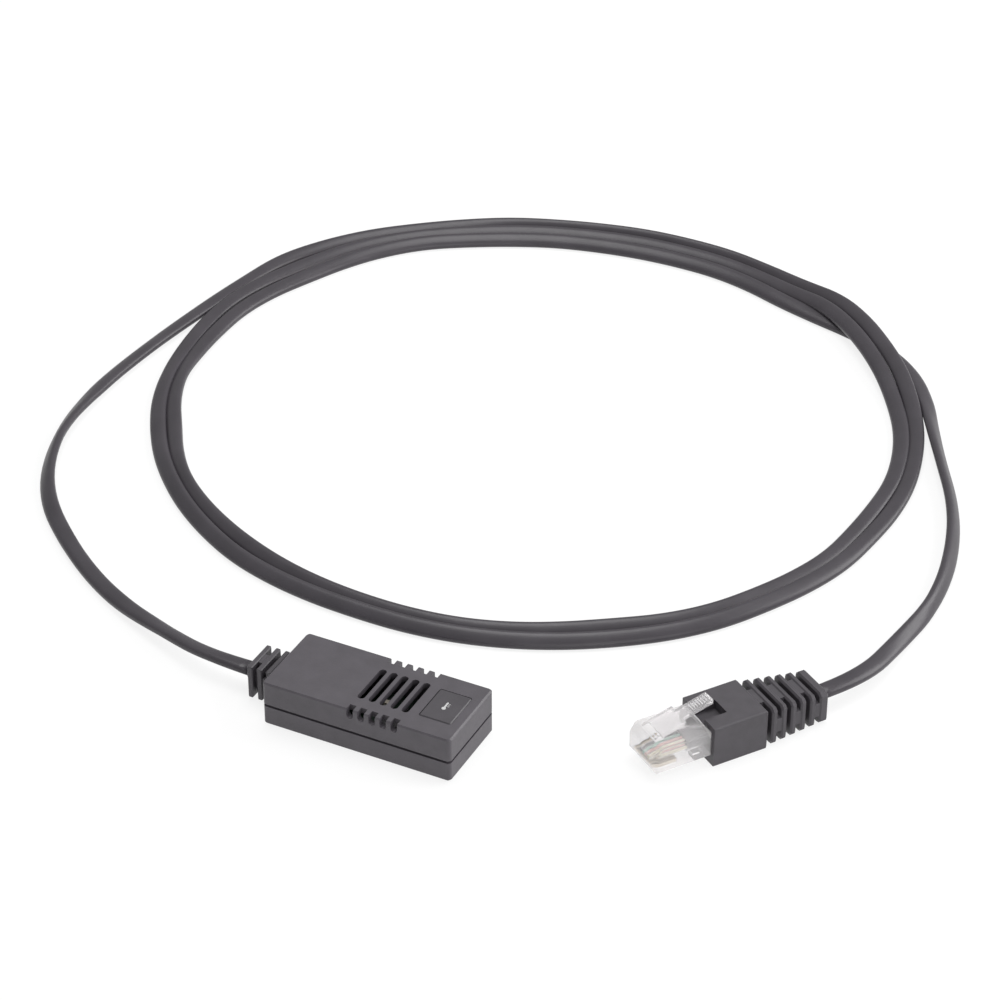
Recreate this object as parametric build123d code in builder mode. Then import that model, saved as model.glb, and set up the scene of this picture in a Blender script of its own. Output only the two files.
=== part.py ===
"""Rack temperature sensor: a small vented head on a flat four-wire cable with a clear modular plug."""
import os
from math import cos, hypot, radians, sin, tan

from build123d import *

os.makedirs("parts", exist_ok=True)

# The head lies on the floor with its length along X. The cable leaves it at the -X end.
HEAD_LENGTH = 46.6
HEAD_WIDTH = 20.8
HEAD_HEIGHT = 11.4
SIDE_WALL = 1.5
TOP_WALL = 1.4
FLOOR_WALL = 1.4
CORNER_RADIUS = 1.0
INNER_CORNER_RADIUS = 0.5
TOP_EDGE_CUT = 0.35
BOTTOM_EDGE_CUT = 0.5

# Seam between the shells: a shadow gap outside and an overlapping lip inside
SEAM_HEIGHT = 5.0
SEAM_GAP = 0.6
LIP_RISE = 1.4
LIP_WALL = 0.7
LIP_CLEARANCE = 0.1

# Vents: long slots across the top and notches over both long edges
VENT_COUNT = 5
VENT_PITCH = 2.72
VENT_OFFSET = 4.2
SLOT_LENGTH = 11.5
SLOT_WIDTH = 1.75
NOTCH_WIDTH = 1.6
NOTCH_REACH = 1.9
NOTCH_DROP = 2.4

# Shallow sunk panel at the closed end of the top face
PANEL_OFFSET = 16.9
PANEL_LENGTH = 8.0
PANEL_WIDTH = 10.6
PANEL_RADIUS = 0.6
PANEL_DEPTH = 0.35

# Flat cable with four conductors side by side
CABLE_WIDTH = 4.2
CABLE_THICKNESS = 2.3
CABLE_EDGE_CUT = 0.7
BORE_CLEARANCE = 0.1
CONDUCTOR_COUNT = 4
CONDUCTOR_DIAMETER = 0.8
CONDUCTOR_PITCH = 0.9
FLOOR_CLEARANCE = 0.1

# Strain relief: plates and webs on a neck, with a flange that is caught inside the end wall
CABLE_HEIGHT = 5.15
RELIEF_REACH = 7.3
RELIEF_WIDTH = 8.8
RELIEF_HEIGHT = 8.4
PLATE_COUNT = 3
PLATE_THICKNESS = 1.3
PLATE_PITCH = 2.4
PLATE_EDGE = 0.2
WEB_INSET = 0.3
WEB_WIDTH = 3.2
NECK_WIDTH = 5.8
NECK_HEIGHT = 5.2
NECK_CLEARANCE = 0.1
FLANGE_WIDTH = 8.2
FLANGE_HEIGHT = 7.0
FLANGE_THICKNESS = 1.4
COLLAR_REACH = 1.3
COLLAR_ROOT_WALL = 1.2
COLLAR_TIP_WALL = 0.3
JACKET_STRIP = 1.1

# Circuit board on four posts, with its parts under the vents
BOARD_CABLE_GAP = 6.5
BOARD_END_GAP = 1.5
BOARD_SIDE_GAP = 0.8
BOARD_THICKNESS = 1.0
BOARD_HEIGHT = 2.6
POST_DIAMETER = 2.6
POST_INSET = 2.2
PIN_DIAMETER = 1.2
PIN_RISE = 0.5
PIN_CLEARANCE = 0.1
PAD_INSET = 2.4
PAD_PITCH = 1.6
CHIP_LENGTH = 4.9
CHIP_WIDTH = 3.9
CHIP_HEIGHT = 1.45
CHIP_STANDOFF = 0.15
CHIP_PLACE = (4.2, -2.6)
LEAD_COUNT = 4
LEAD_PITCH = 1.27
LEAD_WIDTH = 0.42
LEAD_REACH = 1.05
LEAD_THICKNESS = 0.2
SMALL_PART_LENGTH = 2.0
SMALL_PART_WIDTH = 1.25
SMALL_PART_CAP = 0.4
CAP_SWELL = 0.05
CAPACITOR_HEIGHT = 1.0
CAPACITOR_PLACE = (0.2, 3.6)
RESISTOR_HEIGHT = 0.55
RESISTOR_PLACES = [(4.6, 3.6), (9.0, 3.6)]

# Plug: its own frame has x towards the cable, and its origin on the floor under the boot's mouth
PLUG_X = 66.4
PLUG_Y = 24.1
PLUG_TURN = 55.3
PLUG_WIDTH = 11.68
PLUG_BASE = 2.5
NOSE_LENGTH = 14.1
NOSE_HEIGHT = 6.6
NOSE_RADIUS = 0.35
BEVEL_BACK = 1.4
BEVEL_DROP = 2.2
TAIL_LENGTH = 8.3
TAIL_HEIGHT = 4.4
PLUG_CABLE_HEIGHT = 4.4
JACKET_DEPTH = 4.5
JACKET_CLEARANCE = 0.15
WIRE_DIAMETER = 0.9
WIRE_CLEARANCE = 0.1
WIRE_STOP = 0.9
CLAMP_LENGTH = 2.6
CLAMP_WIDTH = 6.0
CLAMP_DEPTH = 0.4

CONTACT_COUNT = 8
CONTACT_PITCH = 1.02
CONTACT_THICKNESS = 0.35
CONTACT_LENGTH = 5.6
CONTACT_SETBACK = 0.5
CONTACT_RECESS = 0.4
CONTACT_TOP = 3.9
CONTACT_CLEARANCE = 0.06

# Latch lever: hinged at the nose, wide to its shoulders, then a narrow thumb tab
LATCH_WIDTH = 6.0
TAB_WIDTH = 3.25
TAB_TIP = 2.5
TAB_TIP_HEIGHT = 14.1
SHOULDER_SETBACK = 8.9
LATCH_THICKNESS = 1.05
HINGE_LENGTH = 2.0

# Boot: block with a recess for the tab, then fins on a core with webs that alternate
BOOT_WIDTH = 13.6
BOOT_HEIGHT = 10.2
BOOT_BODY = 13.8
BOOT_RADIUS = 0.5
BOOT_CLEARANCE = 0.06
RECESS_WIDTH = 5.0
RECESS_LENGTH = 5.6
RECESS_DEPTH = 2.2
FIN_COUNT = 5
FIN_THICKNESS = 1.45
FIN_GAP = 1.2
FIN_EDGE = 0.4
FIN_CORNER_CUT = 0.9
RING_WIDTH = 10.6
RING_HEIGHT = 8.3
RING_CENTRE = 4.2
RING_THICKNESS = 2.2
CORE_WIDTH = 6.0
CORE_HEIGHT = 4.6
FIN_WEB_TOP = 5.2
FIN_WEB_SIDE = 3.6
FIN_WEB_INSET = 0.25

# Coil: strands lie side by side on an ellipse, two all round and one more between the two leads
COIL_X = -24.5
COIL_Y = 127.6
COIL_RADIUS_X = 90.7
COIL_RADIUS_Y = 86.5
STRAND_PITCH = 4.4
FULL_STRANDS = 2
SENSOR_JOIN = 165.0
PLUG_JOIN = 25.0
JOIN_RUN = 15.0
BOOT_RUN = 12.5
SECTOR_SPANS = 3
ARC_SHARE = 0.45

cavity_length = HEAD_LENGTH - 2 * SIDE_WALL
cavity_width = HEAD_WIDTH - 2 * SIDE_WALL
cavity_top = HEAD_HEIGHT - TOP_WALL
lip_top = SEAM_HEIGHT + LIP_RISE
upper_base = SEAM_HEIGHT + SEAM_GAP
head_end = -HEAD_LENGTH / 2
board_length = cavity_length - BOARD_CABLE_GAP - BOARD_END_GAP
board_width = cavity_width - 2 * BOARD_SIDE_GAP
board_middle = (BOARD_CABLE_GAP - BOARD_END_GAP) / 2
board_top = BOARD_HEIGHT + BOARD_THICKNESS
relief_face = head_end - RELIEF_REACH
collar_face = relief_face - COLLAR_REACH
inner_wall = head_end + SIDE_WALL
flange_face = inner_wall + FLANGE_THICKNESS
jacket_end = flange_face + JACKET_STRIP
lead_height = CABLE_THICKNESS / 2 + FLOOR_CLEARANCE
boot_end = BOOT_BODY + FIN_COUNT * FIN_THICKNESS + (FIN_COUNT + 1) * FIN_GAP + RING_THICKNESS

# Opening in the end wall for the neck of the strain relief, shared by both shells
with BuildSketch(Plane.YZ.offset(head_end)) as cable_opening:
    with Locations((0, CABLE_HEIGHT)):
        Rectangle(NECK_WIDTH + 2 * NECK_CLEARANCE, NECK_HEIGHT + 2 * NECK_CLEARANCE)

# Lower shell: tray, lip and board posts with locating pins
post_x = board_length / 2 - POST_INSET
post_y = board_width / 2 - POST_INSET
post_places = [(board_middle + side_x * post_x, side_y * post_y) for side_x in (-1, 1) for side_y in (-1, 1)]

with BuildPart() as lower_shell:
    with BuildSketch():
        RectangleRounded(HEAD_LENGTH, HEAD_WIDTH, CORNER_RADIUS)
    extrude(amount=SEAM_HEIGHT)
    chamfer(lower_shell.faces().sort_by(Axis.Z)[0].edges(), BOTTOM_EDGE_CUT)
    with BuildSketch(Plane.XY.offset(SEAM_HEIGHT)):
        RectangleRounded(
            cavity_length + 2 * LIP_WALL, cavity_width + 2 * LIP_WALL, INNER_CORNER_RADIUS + LIP_WALL
        )
    extrude(amount=LIP_RISE)
    with BuildSketch(Plane.XY.offset(FLOOR_WALL)):
        RectangleRounded(cavity_length, cavity_width, INNER_CORNER_RADIUS)
    extrude(amount=lip_top - FLOOR_WALL, mode=Mode.SUBTRACT)
    extrude(cable_opening.sketch, amount=SIDE_WALL, mode=Mode.SUBTRACT)
    with BuildSketch(Plane.XY.offset(FLOOR_WALL)):
        with Locations(*post_places):
            Circle(POST_DIAMETER / 2)
    extrude(amount=BOARD_HEIGHT - FLOOR_WALL)
    with BuildSketch(Plane.XY.offset(BOARD_HEIGHT)):
        with Locations(*post_places):
            Circle(PIN_DIAMETER / 2)
    extrude(amount=BOARD_THICKNESS + PIN_RISE)

# Upper shell: cap with the lip's rebate, vents and the sunk panel
with BuildPart() as upper_shell:
    with BuildSketch(Plane.XY.offset(upper_base)):
        RectangleRounded(HEAD_LENGTH, HEAD_WIDTH, CORNER_RADIUS)
    extrude(amount=HEAD_HEIGHT - upper_base)
    chamfer(upper_shell.faces().sort_by(Axis.Z)[-1].edges(), TOP_EDGE_CUT)
    with BuildSketch(Plane.XY.offset(upper_base)):
        RectangleRounded(cavity_length, cavity_width, INNER_CORNER_RADIUS)
    extrude(amount=cavity_top - upper_base, mode=Mode.SUBTRACT)
    rebate = LIP_WALL + LIP_CLEARANCE
    with BuildSketch(Plane.XY.offset(upper_base)):
        RectangleRounded(cavity_length + 2 * rebate, cavity_width + 2 * rebate, INNER_CORNER_RADIUS + rebate)
    extrude(amount=lip_top - upper_base, mode=Mode.SUBTRACT)
    extrude(cable_opening.sketch, amount=SIDE_WALL, mode=Mode.SUBTRACT)
    with BuildSketch(Plane.XY.offset(HEAD_HEIGHT)):
        with Locations((VENT_OFFSET, 0)):
            with GridLocations(VENT_PITCH, SLOT_LENGTH, VENT_COUNT, 1):
                SlotOverall(SLOT_LENGTH, SLOT_WIDTH, rotation=90)
    extrude(amount=-TOP_WALL, mode=Mode.SUBTRACT)
    for side in (-1, 1):
        with BuildSketch(Plane.XZ.offset(side * HEAD_WIDTH / 2)):
            with Locations((VENT_OFFSET, HEAD_HEIGHT)):
                with GridLocations(VENT_PITCH, NOTCH_DROP, VENT_COUNT, 1):
                    SlotOverall(2 * NOTCH_DROP, NOTCH_WIDTH, rotation=90)
        extrude(amount=-side * NOTCH_REACH, mode=Mode.SUBTRACT)
    with BuildSketch(Plane.XY.offset(HEAD_HEIGHT)):
        with Locations((PANEL_OFFSET, 0)):
            RectangleRounded(PANEL_LENGTH, PANEL_WIDTH, PANEL_RADIUS)
    extrude(amount=-PANEL_DEPTH, mode=Mode.SUBTRACT)

# Strain relief: flange inside the end wall, neck, plates, webs and the collar round the cable
with BuildPart() as strain_relief:
    for number in range(PLATE_COUNT):
        plate_x = relief_face + number * PLATE_PITCH
        with BuildSketch(Plane.YZ.offset(plate_x)):
            with Locations((0, CABLE_HEIGHT)):
                Rectangle(RELIEF_WIDTH, RELIEF_HEIGHT)
        extrude(amount=PLATE_THICKNESS)
    chamfer(strain_relief.edges().filter_by(Plane.YZ), PLATE_EDGE)
    for number in range(PLATE_COUNT - 1):
        web_x = relief_face + number * PLATE_PITCH + PLATE_THICKNESS / 2
        upright = number % 2 == 0
        with BuildSketch(Plane.YZ.offset(web_x)):
            with Locations((0, CABLE_HEIGHT)):
                Rectangle(
                    WEB_WIDTH if upright else RELIEF_WIDTH - 2 * WEB_INSET,
                    RELIEF_HEIGHT - 2 * WEB_INSET if upright else WEB_WIDTH,
                )
        extrude(amount=PLATE_PITCH)
    with BuildSketch(Plane.YZ.offset(relief_face + PLATE_THICKNESS / 2)):
        with Locations((0, CABLE_HEIGHT)):
            Rectangle(NECK_WIDTH, NECK_HEIGHT)
    extrude(amount=inner_wall - relief_face - PLATE_THICKNESS / 2)
    with BuildSketch(Plane.YZ.offset(inner_wall)):
        with Locations((0, CABLE_HEIGHT)):
            Rectangle(FLANGE_WIDTH, FLANGE_HEIGHT)
    extrude(amount=FLANGE_THICKNESS)
    for face_x, wall in ((relief_face, COLLAR_ROOT_WALL), (collar_face, COLLAR_TIP_WALL)):
        with BuildSketch(Plane.YZ.offset(face_x)):
            with Locations((0, CABLE_HEIGHT)):
                SlotOverall(CABLE_WIDTH + 2 * wall, CABLE_THICKNESS + 2 * wall)
    loft()
    with BuildSketch(Plane.YZ.offset(collar_face)):
        with Locations((0, CABLE_HEIGHT)):
            SlotOverall(CABLE_WIDTH + 2 * BORE_CLEARANCE, CABLE_THICKNESS + 2 * BORE_CLEARANCE)
    extrude(amount=flange_face - collar_face, mode=Mode.SUBTRACT)

with BuildPart() as head_jacket:
    with BuildSketch(Plane.YZ.offset(collar_face)):
        with Locations((0, CABLE_HEIGHT)):
            SlotOverall(CABLE_WIDTH, CABLE_THICKNESS)
    extrude(amount=jacket_end - collar_face)

# Circuit board and its parts
with BuildPart() as circuit_board:
    with BuildSketch(Plane.XY.offset(BOARD_HEIGHT)):
        with Locations((board_middle, 0)):
            Rectangle(board_length, board_width)
        with Locations(*post_places):
            Circle(PIN_DIAMETER / 2 + PIN_CLEARANCE, mode=Mode.SUBTRACT)
    extrude(amount=BOARD_THICKNESS)


def lead_outline(side):
    """Corners of a chip lead: out of the body, down to the board and out along its pad."""
    body = CHIP_WIDTH / 2
    knee = body + LEAD_REACH / 2
    toe = body + LEAD_REACH
    top = board_top + CHIP_STANDOFF + CHIP_HEIGHT / 2
    corners = [
        (body, top),
        (knee, top),
        (knee, board_top + LEAD_THICKNESS),
        (toe, board_top + LEAD_THICKNESS),
        (toe, board_top),
        (knee - LEAD_THICKNESS, board_top),
        (knee - LEAD_THICKNESS, top - LEAD_THICKNESS),
        (body, top - LEAD_THICKNESS),
    ]
    return [(CHIP_PLACE[1] + side * across, height) for across, height in corners]


with BuildPart() as temperature_chip:
    with BuildSketch(Plane.XY.offset(board_top + CHIP_STANDOFF)):
        with Locations(CHIP_PLACE):
            Rectangle(CHIP_LENGTH, CHIP_WIDTH)
    extrude(amount=CHIP_HEIGHT)
    for side in (-1, 1):
        for number in range(LEAD_COUNT):
            lead_x = CHIP_PLACE[0] + (number - (LEAD_COUNT - 1) / 2) * LEAD_PITCH - LEAD_WIDTH / 2
            with BuildSketch(Plane.YZ.offset(lead_x)):
                with BuildLine():
                    Polyline(*lead_outline(side), close=True)
                make_face()
            extrude(amount=LEAD_WIDTH)


def build_small_part(place, height):
    """Build a two-ended surface-mount part that stands on the board."""
    with BuildPart() as small_part:
        with BuildSketch(Plane.XY.offset(board_top + CAP_SWELL)):
            with Locations(place):
                Rectangle(SMALL_PART_LENGTH, SMALL_PART_WIDTH)
        extrude(amount=height)
        with BuildSketch(Plane.XY.offset(board_top)):
            with Locations(place):
                with GridLocations(SMALL_PART_LENGTH - SMALL_PART_CAP, SMALL_PART_WIDTH, 2, 1):
                    Rectangle(SMALL_PART_CAP + 2 * CAP_SWELL, SMALL_PART_WIDTH + 2 * CAP_SWELL)
        extrude(amount=height + 2 * CAP_SWELL)
    return small_part


bypass_capacitor = build_small_part(CAPACITOR_PLACE, CAPACITOR_HEIGHT)
pull_up_resistors = [build_small_part(place, RESISTOR_HEIGHT) for place in RESISTOR_PLACES]

# Conductors in the head run from the stripped cable to their pads on the board
pad_x = board_middle - board_length / 2 + PAD_INSET
head_conductors = []
for number in range(CONDUCTOR_COUNT):
    place = number - (CONDUCTOR_COUNT - 1) / 2
    wire_start = Vector(jacket_end, place * CONDUCTOR_PITCH, CABLE_HEIGHT)
    wire_pad = Vector(pad_x, place * PAD_PITCH, board_top)
    with BuildPart() as head_conductor:
        with BuildSketch(Plane(origin=wire_start, z_dir=wire_pad - wire_start)):
            Circle(CONDUCTOR_DIAMETER / 2)
        extrude(amount=2 * (wire_pad - wire_start).length, both=True)
        split(bisect_by=Plane.YZ.offset(jacket_end), keep=Keep.TOP)
        split(bisect_by=Plane.XY.offset(board_top), keep=Keep.TOP)
    head_conductors.append(head_conductor)

# Plug frame
plug_floor = Plane(
    origin=(PLUG_X, PLUG_Y, 0), x_dir=(cos(radians(PLUG_TURN)), sin(radians(PLUG_TURN)), 0), z_dir=(0, 0, 1)
)


def plug_section(reach):
    """Plane across the plug at a reach towards the cable: its x is across and its y is up."""
    return Plane(
        origin=plug_floor.from_local_coords((reach, 0, 0)), x_dir=plug_floor.y_dir, z_dir=plug_floor.x_dir
    )


# Side plane along the plug's middle: its x is towards the cable and its y is up
plug_side = Plane(origin=plug_floor.origin, x_dir=plug_floor.x_dir, z_dir=-plug_floor.y_dir)

contact_places = [(number - (CONTACT_COUNT - 1) / 2) * CONTACT_PITCH for number in range(CONTACT_COUNT)]
wire_places = [(number - (CONDUCTOR_COUNT - 1) / 2) * CONTACT_PITCH for number in range(CONDUCTOR_COUNT)]
nose_top = PLUG_BASE + NOSE_HEIGHT
latch_root = -NOSE_LENGTH + BEVEL_BACK
shoulder = -NOSE_LENGTH + SHOULDER_SETBACK
tab_slope = (TAB_TIP_HEIGHT - nose_top - LATCH_THICKNESS) / (TAB_TIP - latch_root)
slot_length = CONTACT_SETBACK + CONTACT_LENGTH + CONTACT_CLEARANCE
wire_end = -NOSE_LENGTH + WIRE_STOP


def draw_lever(rear):
    """Draw the lever's side profile from its hinge to a reach towards the cable."""
    rise = tab_slope * (rear - latch_root)
    with BuildSketch(plug_side) as lever:
        with BuildLine():
            Polyline(
                (latch_root, nose_top - LATCH_THICKNESS),
                (latch_root, nose_top + LATCH_THICKNESS / 2),
                (latch_root + LATCH_THICKNESS / 2, nose_top + LATCH_THICKNESS),
                (rear, nose_top + LATCH_THICKNESS + rise),
                (rear, nose_top + rise),
                (latch_root + HINGE_LENGTH, nose_top + tab_slope * HINGE_LENGTH),
                (latch_root + HINGE_LENGTH, nose_top - LATCH_THICKNESS),
                close=True,
            )
        make_face()
    return lever.sketch


wide_lever = draw_lever(shoulder)
thumb_tab = draw_lever(TAB_TIP)

# Clear plug: nose, tail in the boot, lever, contact slots and wire bores
with BuildPart() as plug_body:
    with BuildSketch(plug_side):
        with BuildLine():
            Polyline(
                (0, PLUG_BASE),
                (-NOSE_LENGTH, PLUG_BASE),
                (-NOSE_LENGTH, nose_top - BEVEL_DROP),
                (-NOSE_LENGTH + BEVEL_BACK, nose_top),
                (0, nose_top),
                close=True,
            )
        make_face()
    extrude(amount=PLUG_WIDTH / 2, both=True)
    chamfer(plug_body.edges(), NOSE_RADIUS)
    with BuildSketch(plug_floor.offset(PLUG_BASE + NOSE_RADIUS)):
        with Locations(((TAIL_LENGTH - NOSE_RADIUS) / 2, 0)):
            Rectangle(TAIL_LENGTH + NOSE_RADIUS, PLUG_WIDTH - 2 * NOSE_RADIUS)
    extrude(amount=TAIL_HEIGHT - NOSE_RADIUS)
    extrude(wide_lever, amount=LATCH_WIDTH / 2, both=True)
    extrude(thumb_tab, amount=TAB_WIDTH / 2, both=True)
    with BuildSketch(plug_section(TAIL_LENGTH)):
        with Locations((0, PLUG_CABLE_HEIGHT)):
            SlotOverall(CABLE_WIDTH + 2 * JACKET_CLEARANCE, CABLE_THICKNESS + 2 * JACKET_CLEARANCE)
    extrude(amount=-(TAIL_LENGTH + JACKET_DEPTH), mode=Mode.SUBTRACT)
    with BuildSketch(plug_section(-JACKET_DEPTH)):
        with Locations(*[(place, PLUG_CABLE_HEIGHT) for place in wire_places]):
            Circle(WIRE_DIAMETER / 2 + WIRE_CLEARANCE)
    extrude(amount=wire_end + JACKET_DEPTH, mode=Mode.SUBTRACT)
    with BuildSketch(plug_floor.offset(PLUG_BASE)):
        with Locations(*[(-NOSE_LENGTH + slot_length / 2, place) for place in contact_places]):
            Rectangle(slot_length, CONTACT_THICKNESS + 2 * CONTACT_CLEARANCE)
    extrude(amount=CONTACT_TOP - PLUG_BASE, mode=Mode.SUBTRACT)
    with BuildSketch(plug_floor.offset(PLUG_BASE)):
        with Locations((-JACKET_DEPTH / 2, 0)):
            Rectangle(CLAMP_LENGTH, CLAMP_WIDTH)
    extrude(amount=CLAMP_DEPTH, mode=Mode.SUBTRACT)

# Gold blades hang in their slots, pressed against the slot roofs
across_plug = Axis(plug_floor.origin, plug_floor.y_dir)
contacts = []
for place in contact_places:
    with BuildPart() as contact:
        with BuildSketch(plug_floor.offset(PLUG_BASE + CONTACT_RECESS)):
            with Locations((-NOSE_LENGTH + CONTACT_SETBACK + CONTACT_LENGTH / 2, place)):
                Rectangle(CONTACT_LENGTH, CONTACT_THICKNESS)
        extrude(amount=CONTACT_TOP - PLUG_BASE - CONTACT_RECESS)
        fillet(contact.edges().filter_by(across_plug).sort_by(Axis.Z)[:2], CONTACT_RECESS)
    contacts.append(contact)

plug_conductors = []
for place in wire_places:
    with BuildPart() as plug_conductor:
        with BuildSketch(plug_section(-JACKET_DEPTH)):
            with Locations((place, PLUG_CABLE_HEIGHT)):
                Circle(WIRE_DIAMETER / 2)
        extrude(amount=wire_end + JACKET_DEPTH)
    plug_conductors.append(plug_conductor)

with BuildPart() as plug_jacket:
    with BuildSketch(plug_section(-JACKET_DEPTH)):
        with Locations((0, PLUG_CABLE_HEIGHT)):
            SlotOverall(CABLE_WIDTH, CABLE_THICKNESS)
    extrude(amount=boot_end + JACKET_DEPTH)

# Boot: block, core, fins that taper to the end ring, and webs that alternate between the gaps
fin_step = FIN_THICKNESS + FIN_GAP


def fin_share(number):
    """Share of the taper at a fin, from 0 at the block to 1 at the end ring."""
    return (number + 1) / (FIN_COUNT + 1)


def fin_size(number):
    """Width, height and middle height of a fin."""
    share = fin_share(number)
    width = BOOT_WIDTH + (RING_WIDTH - BOOT_WIDTH) * share
    height = BOOT_HEIGHT + (RING_HEIGHT - BOOT_HEIGHT) * share
    middle = BOOT_HEIGHT / 2 + (RING_CENTRE - BOOT_HEIGHT / 2) * share
    return width, height, middle


with BuildPart() as plug_boot:
    with BuildSketch(plug_section(0)):
        with Locations((0, BOOT_HEIGHT / 2)):
            RectangleRounded(BOOT_WIDTH, BOOT_HEIGHT, BOOT_RADIUS)
    extrude(amount=BOOT_BODY)
    for number in range(FIN_COUNT + 1):
        width, height, middle = fin_size(number)
        thickness = RING_THICKNESS if number == FIN_COUNT else FIN_THICKNESS
        with BuildSketch(plug_section(BOOT_BODY + FIN_GAP + number * fin_step)) as fin:
            with Locations((0, middle)):
                Rectangle(width, height)
            chamfer(fin.vertices(), FIN_CORNER_CUT)
        extrude(amount=thickness)
    boot_axis = Axis(plug_floor.origin, plug_floor.x_dir)
    rims = plug_boot.faces().filter_by(boot_axis).sort_by(boot_axis)[1:].edges()
    chamfer(rims, FIN_EDGE)
    for number in range(FIN_COUNT + 1):
        width, height, middle = fin_size(number)
        upright = number % 2 == 0
        with BuildSketch(plug_section(BOOT_BODY - FIN_EDGE + number * fin_step)):
            with Locations((0, middle)):
                Rectangle(
                    FIN_WEB_TOP if upright else width - 2 * FIN_WEB_INSET,
                    height - 2 * FIN_WEB_INSET if upright else FIN_WEB_SIDE,
                )
            with Locations((0, PLUG_CABLE_HEIGHT)):
                Rectangle(CORE_WIDTH, CORE_HEIGHT)
        extrude(amount=FIN_GAP + 2 * FIN_EDGE)
    with BuildSketch(plug_floor.offset(BOOT_HEIGHT)):
        with Locations((RECESS_LENGTH / 2, 0)):
            Rectangle(RECESS_LENGTH, RECESS_WIDTH)
    extrude(amount=-RECESS_DEPTH, mode=Mode.SUBTRACT)
    with BuildSketch(plug_section(0)):
        with Locations((0, PLUG_BASE + (NOSE_RADIUS + TAIL_HEIGHT) / 2)):
            Rectangle(
                PLUG_WIDTH - 2 * NOSE_RADIUS + 2 * BOOT_CLEARANCE,
                TAIL_HEIGHT - NOSE_RADIUS + 2 * BOOT_CLEARANCE,
            )
    extrude(amount=TAIL_LENGTH, mode=Mode.SUBTRACT)
    with BuildSketch(plug_section(TAIL_LENGTH)):
        with Locations((0, PLUG_CABLE_HEIGHT)):
            SlotOverall(CABLE_WIDTH + 2 * BORE_CLEARANCE, CABLE_THICKNESS + 2 * BORE_CLEARANCE)
    extrude(amount=boot_end - TAIL_LENGTH, mode=Mode.SUBTRACT)


# Coil and the two free leads
def coil_radius(offset, angle):
    """Distance from the coil's middle to the ellipse that runs an offset outside its inner edge."""
    long_radius = COIL_RADIUS_X + offset
    short_radius = COIL_RADIUS_Y + offset
    return long_radius * short_radius / hypot(
        short_radius * cos(radians(angle)), long_radius * sin(radians(angle))
    )


def coil_point(offset, angle):
    """Point of the coil at cable height."""
    radius = coil_radius(offset, angle)
    return Vector(COIL_X + radius * cos(radians(angle)), COIL_Y + radius * sin(radians(angle)), lead_height)


def clockwise(angle):
    """Direction square to the coil's radius, the way the cable is wound."""
    return Vector(sin(radians(angle)), -cos(radians(angle)), 0)


full_width = FULL_STRANDS * STRAND_PITCH
widest = full_width + STRAND_PITCH
extra_strand = full_width + STRAND_PITCH / 2
sensor_join = coil_point(extra_strand, SENSOR_JOIN)
plug_join = coil_point(extra_strand, PLUG_JOIN)

with BuildPart() as cable_coil:
    with BuildSketch(Plane.XY.offset(FLOOR_CLEARANCE)):
        with Locations((COIL_X, COIL_Y)):
            Ellipse(COIL_RADIUS_X + widest, COIL_RADIUS_Y + widest)
        sector_reach = 2 * COIL_RADIUS_X
        sector_turn = (SENSOR_JOIN - PLUG_JOIN) / SECTOR_SPANS
        with BuildLine():
            Polyline(
                (COIL_X, COIL_Y),
                *[
                    (
                        COIL_X + sector_reach * cos(radians(PLUG_JOIN + number * sector_turn)),
                        COIL_Y + sector_reach * sin(radians(PLUG_JOIN + number * sector_turn)),
                    )
                    for number in range(SECTOR_SPANS + 1)
                ],
                close=True,
            )
        make_face(mode=Mode.INTERSECT)
        with Locations((COIL_X, COIL_Y)):
            Ellipse(COIL_RADIUS_X + full_width, COIL_RADIUS_Y + full_width)
            Ellipse(COIL_RADIUS_X, COIL_RADIUS_Y, mode=Mode.SUBTRACT)
    extrude(amount=CABLE_THICKNESS)

SENSOR_ROUTE = [
    Vector(collar_face, 0, CABLE_HEIGHT),
    Vector(-43.5, 0, CABLE_HEIGHT),
    Vector(-57, 5, 3.3),
    Vector(-77, 13, lead_height),
    Vector(-96, 25, lead_height),
    Vector(-116, 42.5, lead_height),
    Vector(-127.5, 65.5, lead_height),
    Vector(-131, 89.5, lead_height),
    Vector(-129, 114.5, lead_height),
    sensor_join - JOIN_RUN * clockwise(SENSOR_JOIN),
    sensor_join,
]
PLUG_ROUTE = [
    plug_join,
    plug_join + JOIN_RUN * clockwise(PLUG_JOIN),
    Vector(85, 135, lead_height),
    Vector(91.5, 114, lead_height),
    Vector(94, 95, lead_height),
    Vector(92.5, 79, lead_height),
    plug_floor.from_local_coords((boot_end + BOOT_RUN, 0, PLUG_CABLE_HEIGHT)),
    plug_floor.from_local_coords((boot_end, 0, PLUG_CABLE_HEIGHT)),
]


def corner_radii(route):
    """Largest arc that the two runs at each corner of a route leave room for."""
    radii = []
    for before, corner, after in zip(route, route[1:], route[2:]):
        shorter = min((corner - before).length, (after - corner).length)
        turn = (corner - before).get_angle(after - corner)
        radii.append(ARC_SHARE * shorter / tan(radians(turn / 2)))
    return radii


def build_lead(route):
    """Sweep the flat cable along a route of straight runs and tangent arcs."""
    radii = corner_radii(route)
    with BuildPart() as lead:
        with BuildLine() as path:
            FilletPolyline(*route, radius=radii)
        along = path.line % 0
        across = Vector(-along.Y, along.X, 0)
        with BuildSketch(Plane(origin=path.line @ 0, x_dir=across, z_dir=along)) as section:
            Rectangle(CABLE_WIDTH, CABLE_THICKNESS)
            chamfer(section.vertices(), CABLE_EDGE_CUT)
        sweep(path=path.line)
    print("radii", [round(radius, 1) for radius in radii])
    length = path.wire().length
    print("length", round(length, 1), "volume", round(lead.part.volume, 1))
    print("section times length", round(section.sketch.area * length, 1))
    return lead


sensor_lead = build_lead(SENSOR_ROUTE)
plug_lead = build_lead(PLUG_ROUTE)

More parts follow.
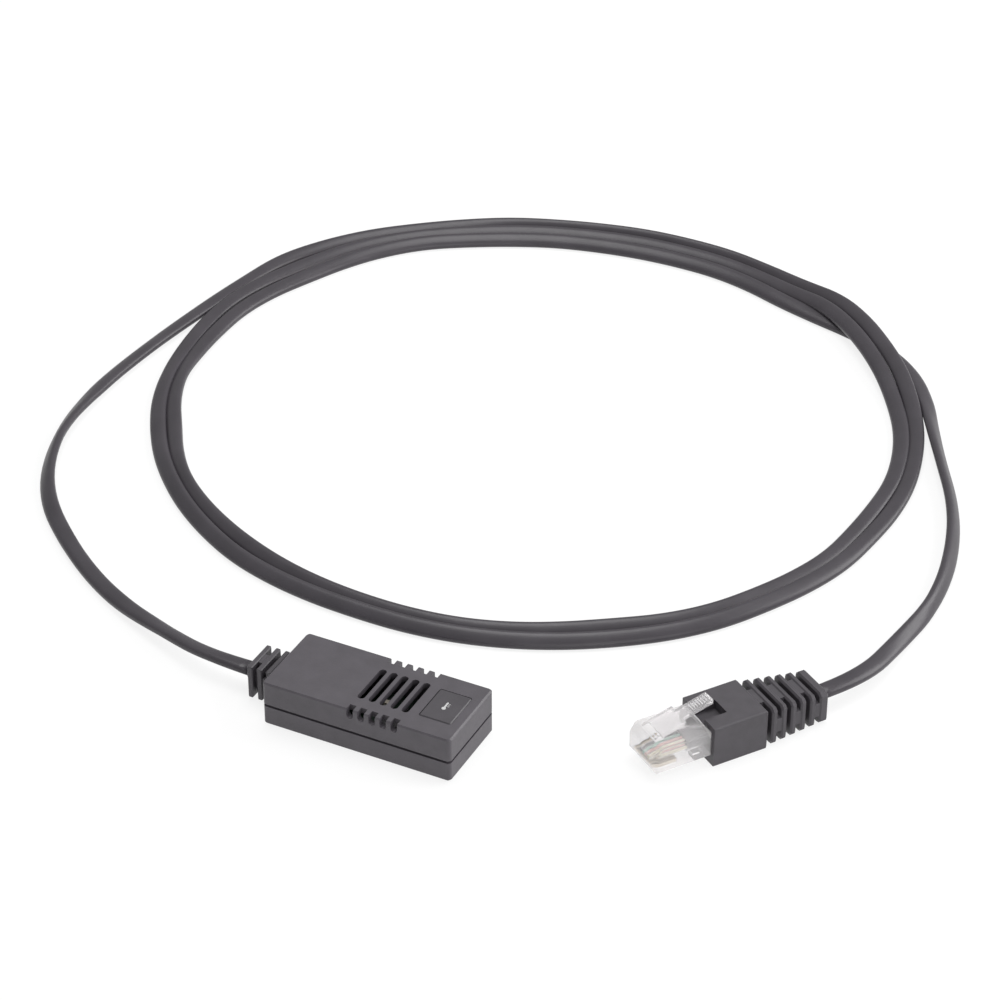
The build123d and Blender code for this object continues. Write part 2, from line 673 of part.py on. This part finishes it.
pieces = {
    "upper_shell": upper_shell,
    "lower_shell": lower_shell,
    "circuit_board": circuit_board,
    "temperature_chip": temperature_chip,
    "bypass_capacitor": bypass_capacitor,
    "strain_relief": strain_relief,
    "head_jacket": head_jacket,
    "sensor_lead": sensor_lead,
    "cable_coil": cable_coil,
    "plug_lead": plug_lead,
    "plug_boot": plug_boot,
    "plug_jacket": plug_jacket,
    "plug_body": plug_body,
}
for number, resistor in enumerate(pull_up_resistors, 1):
    pieces[f"pull_up_resistor_{number}"] = resistor
for number, conductor in enumerate(head_conductors, 1):
    pieces[f"head_conductor_{number}"] = conductor
for number, contact in enumerate(contacts, 1):
    pieces[f"contact_{number}"] = contact
for number, conductor in enumerate(plug_conductors, 1):
    pieces[f"plug_conductor_{number}"] = conductor

for name, piece in pieces.items():
    piece.part.label = name
    export_step(piece.part, f"parts/{name}.step")
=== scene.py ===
"""Looks of the rack temperature sensor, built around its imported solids."""
from math import acos, copysign, cos, degrees, hypot, radians, sin

import bmesh
import bpy
import numpy as np
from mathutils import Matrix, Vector


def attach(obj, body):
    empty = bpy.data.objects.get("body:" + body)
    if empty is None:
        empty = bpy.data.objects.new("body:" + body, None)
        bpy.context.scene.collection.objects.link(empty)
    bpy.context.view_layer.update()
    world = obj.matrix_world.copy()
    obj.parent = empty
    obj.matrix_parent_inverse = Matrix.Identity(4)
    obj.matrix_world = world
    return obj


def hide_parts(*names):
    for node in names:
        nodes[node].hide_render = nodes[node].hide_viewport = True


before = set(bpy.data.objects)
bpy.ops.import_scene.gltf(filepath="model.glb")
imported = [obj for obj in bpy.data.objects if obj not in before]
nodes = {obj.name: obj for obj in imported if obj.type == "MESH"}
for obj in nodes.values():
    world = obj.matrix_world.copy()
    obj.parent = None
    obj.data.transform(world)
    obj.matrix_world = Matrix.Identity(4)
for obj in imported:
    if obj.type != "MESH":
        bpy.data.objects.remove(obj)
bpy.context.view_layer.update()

MM = 0.001

# Cable: its flat section, a squared oval, in millimetres
CABLE_WIDTH = 4.2
CABLE_THICKNESS = 2.3
SQUARENESS = 2.5
SECTION_STEPS = 32
ROUTE_RESOLUTION = 8
FLOOR_CLEARANCE = 0.1
LEAD_HEIGHT = CABLE_THICKNESS / 2 + FLOOR_CLEARANCE

# Ends of the cable, as in the part's source: the collar of the strain relief and the back of the boot
COLLAR_FACE = -31.9
CABLE_HEIGHT = 5.15
PLUG_X = 66.4
PLUG_Y = 24.1
PLUG_TURN = 55.3
PLUG_CABLE_HEIGHT = 4.4
BOOT_END = 30.45
BOOT_RUN = 12.5

# Loose turns about an ellipse, in millimetres and degrees, from the join with the sensor lead
COIL_X = -24.5
COIL_Y = 127.6
COIL_RADIUS_X = 91.2
COIL_RADIUS_Y = 87.0
SENSOR_JOIN = 165.0
COIL_STEP = 7.5
COIL_SWEEP = 862.5

# A quadratic spline runs inside its control points, so those of the coil lie further out by this factor
SPLINE_SPREAD = 8 / (6 + 2 * cos(radians(COIL_STEP)))

# Inner edge of the loose turns, as (angle, millimetres outside the ellipse), and the strands' spacing
INNER_EDGE = [
    (0, -1.8), (8, -0.8), (20, -0.4), (33, -0.7), (42, -0.6), (54, -1.6), (60, -2.6), (68, -2.6),
    (80, -1.3), (92, -1.6), (103, -1.4), (115, -0.3), (123, -0.6), (137, 2.2), (147, 0.8), (158, -0.7),
    (170, 0.2), (184, -0.7), (196, 0.5), (210, -1.8), (225, 0.1), (246, -0.8), (264, 0.7), (284, 2.6),
    (294, 2.2), (306, 0.5), (319, 2.3), (333, 0.6), (343, 0.6), (354, -1.6),
]
SPACING = [
    (0, 4.3), (12, 3.5), (24, 3.8), (42, 4.4), (52, 4.4), (60, 4.7), (70, 4.25), (78, 4.4),
    (98, 4.5), (112, 4.0), (121, 4.3), (136, 3.5), (146, 4.6), (157, 5.1), (168, 5.2), (176, 4.6),
    (186, 3.8), (195, 3.1), (210, 4.1), (225, 3.1), (248, 4.6), (258, 3.9), (270, 3.2), (288, 3.2),
    (306, 4.7), (318, 3.7), (330, 3.5), (348, 3.6), (354, 4.0),
]

# Roll of the loose turns in degrees: outer edge up at the back, inner edge up at the front
LAY_ROLL = [
    (0, 0), (14, 15), (60, 25), (100, 32), (140, 30), (165, 10), (183, 0),
    (195, -25), (210, -16), (225, -35), (250, -32), (285, -36), (320, -32), (345, -15),
]

# Stretches of the coil, as the angles swept from the join at which a change starts and ends.
# The cable joins as the outermost strand, crosses inwards twice and leaves across both strands.
# It stands off by a share of the spacing at the join, and draws in by as much where it leans further.
OUTERMOST_STRAND = 2
SETTLING = (5, 24)
FIRST_CROSSING = (103, 126)
SECOND_CROSSING = (461, 486)
LEAVING = (817, 850)
STRAND_DRIFT = 0.2

# Each crossing rides over the strand beneath it
FIRST_CLIMB = (92, 108)
FIRST_DESCENT = (126, 142)
SECOND_CLIMB = (453, 467)
SECOND_DESCENT = (481, 497)

# The outermost strand leans further at the back. The last one lies down and then leans into the plug lead
STEEPER_ROLL = 20
STEEPER_START = (30, 55)
STEEPER_END = (90, 108)
LYING_DOWN = (815, 840)
LEAVING_ROLL = -22
LEANING = (836, 862)


def plug_point(reach, height, roll):
    """Route point on the plug's axis: reach towards the cable, height and roll."""
    turn = radians(PLUG_TURN)
    return (PLUG_X + reach * cos(turn), PLUG_Y + reach * sin(turn), height, roll)


def read_round(table, angle):
    """Value of a table that goes round the coil."""
    angles = [place for place, value in table]
    values = [value for place, value in table]
    return float(np.interp(angle % 360, angles, values, period=360))


def ramp(value, start, end):
    """Smooth step from 0 at start to 1 at end."""
    share = min(max((value - start) / (end - start), 0.0), 1.0)
    return share * share * (3 - 2 * share)


def between(swept, rise, fall):
    """Share that goes up to 1 along one stretch and down to 0 along a later one."""
    return ramp(swept, *rise) * (1 - ramp(swept, *fall))


def strand_place(swept):
    """Strand number, counted outwards from 0, at an angle swept from the join with the sensor lead."""
    drift = 1 - ramp(swept, *SETTLING) - between(swept, STEEPER_START, STEEPER_END)
    inward = ramp(swept, *FIRST_CROSSING) + ramp(swept, *SECOND_CROSSING)
    outward = OUTERMOST_STRAND * ramp(swept, *LEAVING)
    return OUTERMOST_STRAND + STRAND_DRIFT * drift - inward + outward


def hump(swept):
    """Height in thicknesses by which a pass rides over the one that crosses beneath it."""
    return between(swept, FIRST_CLIMB, FIRST_DESCENT) + between(swept, SECOND_CLIMB, SECOND_DESCENT)


def rolled_height(roll):
    """Height of the cable's section when it is rolled."""
    power = SQUARENESS / (SQUARENESS - 1)
    upright = CABLE_THICKNESS * abs(cos(radians(roll)))
    leaning = CABLE_WIDTH * abs(sin(radians(roll)))
    return (upright**power + leaning**power) ** (1 / power)


def lift(roll):
    """Height that a roll adds to the middle of the cable."""
    return (rolled_height(roll) - CABLE_THICKNESS) / 2


def on_floor(across, along, roll):
    """Route point of cable that lies on the floor."""
    return (across, along, LEAD_HEIGHT + lift(roll), roll)


def coil_point(swept):
    """Route point of the coil at an angle swept from the join with the sensor lead."""
    angle = SENSOR_JOIN - swept
    turn = radians(angle)
    spacing = read_round(SPACING, angle)
    offset = read_round(INNER_EDGE, angle) + (strand_place(swept) + 0.5) * spacing
    long_radius = COIL_RADIUS_X + offset
    short_radius = COIL_RADIUS_Y + offset
    radius = long_radius * short_radius / hypot(short_radius * cos(turn), long_radius * sin(turn))
    radius *= SPLINE_SPREAD
    roll = read_round(LAY_ROLL, angle) * (1 - ramp(swept, *LYING_DOWN))
    roll += STEEPER_ROLL * between(swept, STEEPER_START, STEEPER_END)
    roll += LEAVING_ROLL * ramp(swept, *LEANING)
    height = LEAD_HEIGHT + lift(roll) + hump(swept) * (CABLE_THICKNESS + FLOOR_CLEARANCE)
    return (COIL_X + radius * cos(turn), COIL_Y + radius * sin(turn), height, roll)


# Route of the cable: across, along, height and roll of each point
SENSOR_POINTS = [
    (COLLAR_FACE, 0, CABLE_HEIGHT, 0),
    (-43.5, 0, CABLE_HEIGHT, 12),
    (-57, 5, 3.3, 16),
    on_floor(-77, 13, -8),
    on_floor(-96, 25, 0),
    on_floor(-115.8, 42.4, -36),
    on_floor(-127, 65.3, -60),
    on_floor(-130.2, 89.1, -14),
    on_floor(-128.9, 114.4, -14),
    on_floor(-126, 139, -4),
    on_floor(-123.5, 154.1, 0),
]
PLUG_POINTS = [
    on_floor(65.8, 169.7, -40),
    on_floor(72.8, 156.5, -55),
    on_floor(85, 135, -55),
    on_floor(91.8, 114, -48),
    on_floor(94.2, 95, -60),
    on_floor(92.2, 79.5, -30),
    plug_point(BOOT_END + BOOT_RUN, PLUG_CABLE_HEIGHT, -8),
    plug_point(BOOT_END, PLUG_CABLE_HEIGHT, 0),
]
coil_points = []
for number in range(1, int(COIL_SWEEP / COIL_STEP)):
    coil_points.append(coil_point(number * COIL_STEP))
route = SENSOR_POINTS + coil_points + PLUG_POINTS


def link(obj):
    """Put an object into the scene."""
    bpy.context.scene.collection.objects.link(obj)
    return obj


def close_rings(mesh, rings):
    """Join rings of corners by walls and close both ends."""
    count = len(rings[0])
    for lower, upper in zip(rings, rings[1:]):
        for number in range(count):
            after = (number + 1) % count
            mesh.faces.new((lower[number], lower[after], upper[after], upper[number]))
    mesh.faces.new(list(reversed(rings[0])))
    mesh.faces.new(rings[-1])


def mesh_object(name, mesh):
    """Turn a built mesh into an object of the scene."""
    bmesh.ops.recalc_face_normals(mesh, faces=mesh.faces)
    data = bpy.data.meshes.new(name)
    mesh.to_mesh(data)
    mesh.free()
    return link(bpy.data.objects.new(name, data))


def spline_points(points):
    """Points along the smooth spline that has the given control points."""
    curve = bpy.data.curves.new("route", "CURVE")
    curve.dimensions = "3D"
    spline = curve.splines.new("NURBS")
    spline.points.add(len(points) - 1)
    for place, point in zip(spline.points, points):
        place.co = (point[0] * MM, point[1] * MM, point[2] * MM, 1)
    spline.order_u = 3
    spline.use_endpoint_u = True
    spline.resolution_u = ROUTE_RESOLUTION
    guide = link(bpy.data.objects.new("route", curve))
    bpy.context.view_layer.update()
    line = bpy.data.meshes.new_from_object(guide)
    found = [vertex.co.copy() for vertex in line.vertices]
    bpy.data.objects.remove(guide)
    bpy.data.curves.remove(curve)
    bpy.data.meshes.remove(line)
    return found


def spread_rolls(points, count):
    """Roll in radians at evenly spaced parameters of the route's spline."""
    last = len(points) - 2
    places = [0.0] + [number + 0.5 for number in range(last)] + [float(last)]
    rolls = [radians(point[3]) for point in points]
    return np.interp(np.linspace(0, last, count), places, rolls)


def flat_section():
    """Outline of the flat cable as (across, up) in metres."""
    outline = []
    for step in range(SECTION_STEPS):
        turn = 2 * np.pi * step / SECTION_STEPS
        across = copysign(abs(cos(turn)) ** (2 / SQUARENESS), cos(turn)) * CABLE_WIDTH / 2
        up = copysign(abs(sin(turn)) ** (2 / SQUARENESS), sin(turn)) * CABLE_THICKNESS / 2
        outline.append((across * MM, up * MM))
    return outline


def sweep(name, line, rolls, outline):
    """Tube with a fixed outline along a line of points, rolled about it."""
    mesh = bmesh.new()
    rings = []
    for number, (point, roll) in enumerate(zip(line, rolls)):
        before = line[max(number - 1, 0)]
        after = line[min(number + 1, len(line) - 1)]
        along = (after - before).normalized()
        level = Vector((-along.y, along.x, 0)).normalized()
        across = level * cos(roll) + along.cross(level) * sin(roll)
        up = along.cross(across)
        rings.append([mesh.verts.new(point + across * side + up * rise) for side, rise in outline])
    close_rings(mesh, rings)
    tube = mesh_object(name, mesh)
    for face in tube.data.polygons:
        face.use_smooth = len(face.vertices) == 4
    return tube


cable_line = spline_points(route)
cable = sweep("cable", cable_line, spread_rolls(route, len(cable_line)), flat_section())


# Insert in the sunk panel of the head, with a raised thermometer sign
PANEL_X = 16.9
PANEL_FLOOR = 11.05
INSERT_LENGTH = 7.9
INSERT_WIDTH = 10.5
INSERT_RADIUS = 0.5
INSERT_HEIGHT = 0.5
INSERT_BEVEL = 0.3
SIGN_HEIGHT = 0.08
BULB_RADIUS = 0.48
BULB_Y = -0.9
STEM_WIDTH = 0.42
STEM_TOP = 1.1
TICKS = (-0.05, 0.4, 0.85)
TICK_LENGTH = 0.42
TICK_WIDTH = 0.14
ARC_STEPS = 10


def arc(centre, radius, start, turn, steps):
    """Points along an arc, angles in degrees."""
    angles = [radians(start + turn * step / steps) for step in range(steps + 1)]
    return [(centre[0] + radius * cos(angle), centre[1] + radius * sin(angle)) for angle in angles]


def rounded_rectangle(length, width, radius):
    """Outline of a rectangle with round corners about the origin."""
    reach, side = length / 2 - radius, width / 2 - radius
    corners = [((reach, side), 0), ((-reach, side), 90), ((-reach, -side), 180), ((reach, -side), 270)]
    return [point for corner, start in corners for point in arc(corner, radius, start, 90, ARC_STEPS)]


def thermometer():
    """Outline of a bulb with a round-topped stem."""
    half = STEM_WIDTH / 2
    opening = degrees(acos(half / BULB_RADIUS))
    bulb = arc((0, BULB_Y), BULB_RADIUS, 180 - opening, 180 + 2 * opening, 3 * ARC_STEPS)
    return bulb + arc((0, STEM_TOP), half, 0, 180, ARC_STEPS)


def stack(mesh, place, levels):
    """Add a closed form to a mesh: outlines at rising heights, joined by walls, with flat ends."""
    rings = []
    for outline, height in levels:
        spots = [((place[0] + x) * MM, (place[1] + y) * MM, height * MM) for x, y in outline]
        rings.append([mesh.verts.new(spot) for spot in spots])
    close_rings(mesh, rings)


def finish_mesh(name, mesh):
    """Turn a built mesh into a piece attached to the root body."""
    piece = mesh_object(name, mesh)
    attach(piece, "root")
    return piece


insert_top = PANEL_FLOOR + INSERT_HEIGHT
full_outline = rounded_rectangle(INSERT_LENGTH, INSERT_WIDTH, INSERT_RADIUS)
top_outline = rounded_rectangle(
    INSERT_LENGTH - 2 * INSERT_BEVEL, INSERT_WIDTH - 2 * INSERT_BEVEL, INSERT_RADIUS - INSERT_BEVEL / 2
)
insert_mesh = bmesh.new()
stack(
    insert_mesh,
    (PANEL_X, 0),
    [(full_outline, PANEL_FLOOR), (full_outline, insert_top - INSERT_BEVEL), (top_outline, insert_top)],
)
panel_insert = finish_mesh("panel_insert", insert_mesh)

sign_mesh = bmesh.new()
sign_levels = (insert_top, insert_top + SIGN_HEIGHT)
stack(sign_mesh, (PANEL_X, 0), [(thermometer(), height) for height in sign_levels])
for tick in TICKS:
    tick_outline = rounded_rectangle(TICK_LENGTH, TICK_WIDTH, TICK_WIDTH / 3)
    tick_place = (PANEL_X + STEM_WIDTH + TICK_LENGTH / 2, tick)
    stack(sign_mesh, tick_place, [(tick_outline, height) for height in sign_levels])
panel_sign = finish_mesh("panel_sign", sign_mesh)

# Ribs across the latch tab, on the sloping top of its lever
LEVER_START = -12.175
LEVER_HEIGHT = 10.15
LEVER_SLOPE = 0.269
RIB_COUNT = 8
RIB_PITCH = 0.6
RIB_FIRST = -2.4
RIB_WIDTH = 0.26
RIB_LENGTH = 2.1
RIB_DEPTH = 0.05
RIB_HEIGHT = 0.1


def rib_corner(mesh, reach, side, rise):
    """Corner of a rib: reach towards the cable, side from the plug's axis and rise over the lever."""
    turn = radians(PLUG_TURN)
    across = PLUG_X + reach * cos(turn) - side * sin(turn)
    along = PLUG_Y + reach * sin(turn) + side * cos(turn)
    height = LEVER_HEIGHT + LEVER_SLOPE * (reach - LEVER_START) + rise
    return mesh.verts.new((across * MM, along * MM, height * MM))


rib_mesh = bmesh.new()
for number in range(RIB_COUNT):
    front = RIB_FIRST + number * RIB_PITCH
    spots = [(front, -1), (front + RIB_WIDTH, -1), (front + RIB_WIDTH, 1), (front, 1)]
    rib_rings = []
    for rise in (-RIB_DEPTH, RIB_HEIGHT):
        ring = [rib_corner(rib_mesh, reach, side * RIB_LENGTH / 2, rise) for reach, side in spots]
        rib_rings.append(ring)
    close_rings(rib_mesh, rib_rings)
latch_ribs = finish_mesh("latch_ribs", rib_mesh)

# Names of the plug's parts, and the swept cable attached to the root in place of the imported cord, whose
# solids are hidden; the plug and the strain relief sit on the cord's ends
CONTACT_COUNT = 8
CONDUCTOR_COUNT = 4

contact_nodes = [f"contact_{number}" for number in range(1, CONTACT_COUNT + 1)]
plug_nodes = ["plug_boot", "plug_jacket", "plug_body"] + contact_nodes
plug_nodes += [f"plug_conductor_{number}" for number in range(1, CONDUCTOR_COUNT + 1)]

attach(cable, "root")
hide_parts("sensor_lead", "cable_coil", "plug_lead")

# Spread of the roughness either way, and strength of the grain, in every moulded surface
GLOSS_SPREAD = 0.06
GRAIN_STRENGTH = 0.5


def new_material(name):
    """Material with nodes."""
    material = bpy.data.materials.new(name)
    material.use_nodes = True
    return material


def shader_of(material):
    """Main shader of a material."""
    return material.node_tree.nodes["Principled BSDF"]


def moulded(name, dark, light, roughness, grain, depth, mottle):
    """Moulded plastic: mottled colour, fine grain in the surface and uneven gloss."""
    material = new_material(name)
    tree = material.node_tree
    shader = shader_of(material)
    place = tree.nodes.new("ShaderNodeTexCoord")
    broad = tree.nodes.new("ShaderNodeTexNoise")
    broad.inputs["Scale"].default_value = mottle
    broad.inputs["Detail"].default_value = 4
    fine = tree.nodes.new("ShaderNodeTexNoise")
    fine.inputs["Scale"].default_value = grain
    fine.inputs["Detail"].default_value = 3
    colours = tree.nodes.new("ShaderNodeValToRGB")
    colours.color_ramp.elements[0].position = 0.3
    colours.color_ramp.elements[0].color = (*dark, 1)
    colours.color_ramp.elements[1].position = 0.7
    colours.color_ramp.elements[1].color = (*light, 1)
    gloss = tree.nodes.new("ShaderNodeMapRange")
    gloss.inputs["To Min"].default_value = roughness - GLOSS_SPREAD
    gloss.inputs["To Max"].default_value = roughness + GLOSS_SPREAD
    bump = tree.nodes.new("ShaderNodeBump")
    bump.inputs["Strength"].default_value = GRAIN_STRENGTH
    bump.inputs["Distance"].default_value = depth
    links = tree.links
    links.new(place.outputs["Object"], broad.inputs["Vector"])
    links.new(place.outputs["Object"], fine.inputs["Vector"])
    links.new(broad.outputs["Fac"], colours.inputs["Fac"])
    links.new(colours.outputs["Color"], shader.inputs["Base Color"])
    links.new(fine.outputs["Fac"], gloss.inputs["Value"])
    links.new(gloss.outputs["Result"], shader.inputs["Roughness"])
    links.new(fine.outputs["Fac"], bump.inputs["Height"])
    links.new(bump.outputs["Normal"], shader.inputs["Normal"])
    return material


def grey(value):
    """Dark grey of a value with a faint purple cast."""
    return (value * 1.03, value * 0.93, value * 1.08)


def dress(material, *pieces):
    """Give pieces one material."""
    for piece in pieces:
        piece.data.materials.clear()
        piece.data.materials.append(material)


# Head: moulded shells, the insert with its sign, and the board with its parts, the board painted dark as
# painted shade
head_plastic = moulded(
    "head_plastic", grey(0.054), grey(0.065), roughness=0.45, grain=2600, depth=0.00004, mottle=300
)
insert_plastic = moulded(
    "insert_plastic", grey(0.039), grey(0.047), roughness=0.45, grain=2600, depth=0.00002, mottle=300
)
sign_ink = moulded(
    "sign_ink", (0.4, 0.4, 0.4), (0.5, 0.5, 0.5), roughness=0.5, grain=3000, depth=0.00001, mottle=900
)
# Green board laminate, painted far darker as painted shade for the dark inside of the head seen through
# its slots
board_laminate = moulded(
    "board_laminate",
    (0.004, 0.014, 0.008), (0.006, 0.02, 0.011), roughness=0.35, grain=1500, depth=0.00002, mottle=400
)
chip_resin = moulded(
    "chip_resin", grey(0.012), grey(0.018), roughness=0.5, grain=2500, depth=0.00002, mottle=600
)
resistor_film = moulded(
    "resistor_film", grey(0.015), grey(0.022), roughness=0.3, grain=2500, depth=0.00001, mottle=600
)
capacitor_ceramic = moulded(
    "capacitor_ceramic",
    (0.5, 0.45, 0.38), (0.6, 0.55, 0.48), roughness=0.4, grain=2500, depth=0.00002, mottle=900
)

# Cable and moulded ends
moulded_vinyl = moulded(
    "moulded_vinyl", grey(0.042), grey(0.052), roughness=0.48, grain=2200, depth=0.00003, mottle=300
)
cable_vinyl = moulded(
    "cable_vinyl", grey(0.04), grey(0.049), roughness=0.35, grain=1800, depth=0.00002, mottle=120
)
shader_of(cable_vinyl).inputs["Specular IOR Level"].default_value = 0.34

# Plug: clear body, pale grey ribs on its latch whose grey is painted shade, gilt blades and coloured
# wires
clear_plastic = moulded(
    "clear_plastic",
    (0.87, 0.855, 0.86), (0.92, 0.905, 0.91), roughness=0.06, grain=500, depth=0.00001, mottle=200
)
clear_shader = shader_of(clear_plastic)
clear_shader.inputs["Transmission Weight"].default_value = 0.75
clear_shader.inputs["IOR"].default_value = 1.15
clear_shader.inputs["Coat Weight"].default_value = 0.7
clear_shader.inputs["Coat Roughness"].default_value = 0.05
# The ribs' opaque grey is painted shade for the dark marks that the clear ribs show
rib_painted_shade = moulded(
    "rib_painted_shade",
    (0.42, 0.41, 0.42), (0.62, 0.61, 0.62), roughness=0.3, grain=2500, depth=0.00002, mottle=900
)
contact_gold = moulded(
    "contact_gold",
    (0.98, 0.85, 0.62), (1.0, 0.91, 0.72), roughness=0.25, grain=2500, depth=0.000005, mottle=700
)
shader_of(contact_gold).inputs["Metallic"].default_value = 1.0
WIRE_COLOURS = {
    1: ("wire_yellow", (0.92, 0.85, 0.58), (0.95, 0.9, 0.68)),
    2: ("wire_red", (0.84, 0.4, 0.32), (0.9, 0.5, 0.42)),
    3: ("wire_green", (0.42, 0.74, 0.6), (0.5, 0.8, 0.68)),
    4: ("wire_black", (0.09, 0.09, 0.09), (0.13, 0.13, 0.13)),
}

dress(cable_vinyl, cable, nodes["head_jacket"], nodes["plug_jacket"])
dress(head_plastic, nodes["upper_shell"], nodes["lower_shell"])
dress(insert_plastic, panel_insert)
dress(sign_ink, panel_sign)
dress(moulded_vinyl, nodes["strain_relief"], nodes["plug_boot"])
dress(clear_plastic, nodes["plug_body"])
dress(rib_painted_shade, latch_ribs)
dress(board_laminate, nodes["circuit_board"])
dress(capacitor_ceramic, nodes["bypass_capacitor"])
dress(chip_resin, nodes["temperature_chip"])
dress(resistor_film, nodes["pull_up_resistor_1"], nodes["pull_up_resistor_2"])
dress(contact_gold, *[nodes[name] for name in contact_nodes])
for number, (name, dark, light) in WIRE_COLOURS.items():
    wire_plastic = moulded(name, dark, light, roughness=0.35, grain=1500, depth=0.00001, mottle=500)
    dress(wire_plastic, nodes[f"plug_conductor_{number}"], nodes[f"head_conductor_{number}"])

# Floor: paper that the camera sees nearly white, with a soft shadow, and that glows in the pieces
FLOOR_REACH = 4.0
CAMERA_GLOW = 0.82

floor_data = bpy.data.meshes.new("floor")
floor_corners = [(x * FLOOR_REACH, y * FLOOR_REACH, 0) for x, y in ((-1, -1), (1, -1), (1, 1), (-1, 1))]
floor_data.from_pydata(floor_corners, [], [(0, 1, 2, 3)])
floor = link(bpy.data.objects.new("floor", floor_data))
paper = new_material("paper")
paper_tree = paper.node_tree
paper_shader = shader_of(paper)
paper_shader.inputs["Base Color"].default_value = (0.9, 0.9, 0.9, 1)
paper_shader.inputs["Roughness"].default_value = 0.9
glow = paper_tree.nodes.new("ShaderNodeEmission")
glow.inputs["Color"].default_value = (1, 1, 1, 1)
light_path = paper_tree.nodes.new("ShaderNodeLightPath")
in_pieces = paper_tree.nodes.new("ShaderNodeMath")
in_pieces.operation = "MAXIMUM"
share = paper_tree.nodes.new("ShaderNodeMath")
share.operation = "MULTIPLY_ADD"
share.inputs[1].default_value = CAMERA_GLOW
blend = paper_tree.nodes.new("ShaderNodeMixShader")
paper_links = paper_tree.links
paper_links.new(light_path.outputs["Is Glossy Ray"], in_pieces.inputs[0])
paper_links.new(light_path.outputs["Is Transmission Ray"], in_pieces.inputs[1])
paper_links.new(light_path.outputs["Is Camera Ray"], share.inputs[0])
paper_links.new(in_pieces.outputs["Value"], share.inputs[2])
paper_links.new(share.outputs["Value"], blend.inputs["Fac"])
paper_links.new(paper_shader.outputs["BSDF"], blend.inputs[1])
paper_links.new(glow.outputs["Emission"], blend.inputs[2])
paper_links.new(blend.outputs["Shader"], paper_tree.nodes["Material Output"].inputs["Surface"])
dress(paper, floor)

# Soft studio light from a pale surround and three wide lamps, in metres and watts
SURROUND_STRENGTH = 0.45
LAMP_TARGET = (-0.016, 0.092, 0)

world = bpy.data.worlds.new("surround")
bpy.context.scene.world = world
world.use_nodes = True
sky = world.node_tree.nodes["Background"]
sky.inputs["Color"].default_value = (1, 1, 1, 1)
sky.inputs["Strength"].default_value = SURROUND_STRENGTH


def facing(place, target):
    """Rotation of a lamp or camera at a place that looks at a target."""
    return (Vector(target) - Vector(place)).to_track_quat("-Z", "Y").to_euler()


def lamp(name, place, size, power):
    """Square area lamp that faces the middle of the object."""
    data = bpy.data.lights.new(name, "AREA")
    data.shape = "SQUARE"
    data.size = size
    data.energy = power
    obj = link(bpy.data.objects.new(name, data))
    obj.location = place
    obj.rotation_euler = facing(place, LAMP_TARGET)


lamp("top", (-0.1, 0.25, 1.0), size=0.6, power=6.4)
lamp("side", (0.8, 0.78, 0.6), size=0.9, power=12)
lamp("front", (0.9, -0.7, 0.5), size=1.0, power=6)

# Camera at the photograph's angle, in metres, with its lens and film width in millimetres
CAMERA_PLACE = (0.28547, -0.50618, 0.45287)
CAMERA_TARGET = (-0.01628, 0.09203, 0)
CAMERA_LENS = 119.57
FILM_WIDTH = 36
CLIP_END = 20

camera_data = bpy.data.cameras.new("camera")
camera_data.lens = CAMERA_LENS
camera_data.sensor_width = FILM_WIDTH
camera_data.clip_end = CLIP_END
camera = link(bpy.data.objects.new("camera", camera_data))
camera.location = CAMERA_PLACE
camera.rotation_euler = facing(CAMERA_PLACE, CAMERA_TARGET)
bpy.context.scene.camera = camera
bpy.context.scene.view_settings.view_transform = "Standard"

bpy.context.view_layer.update()
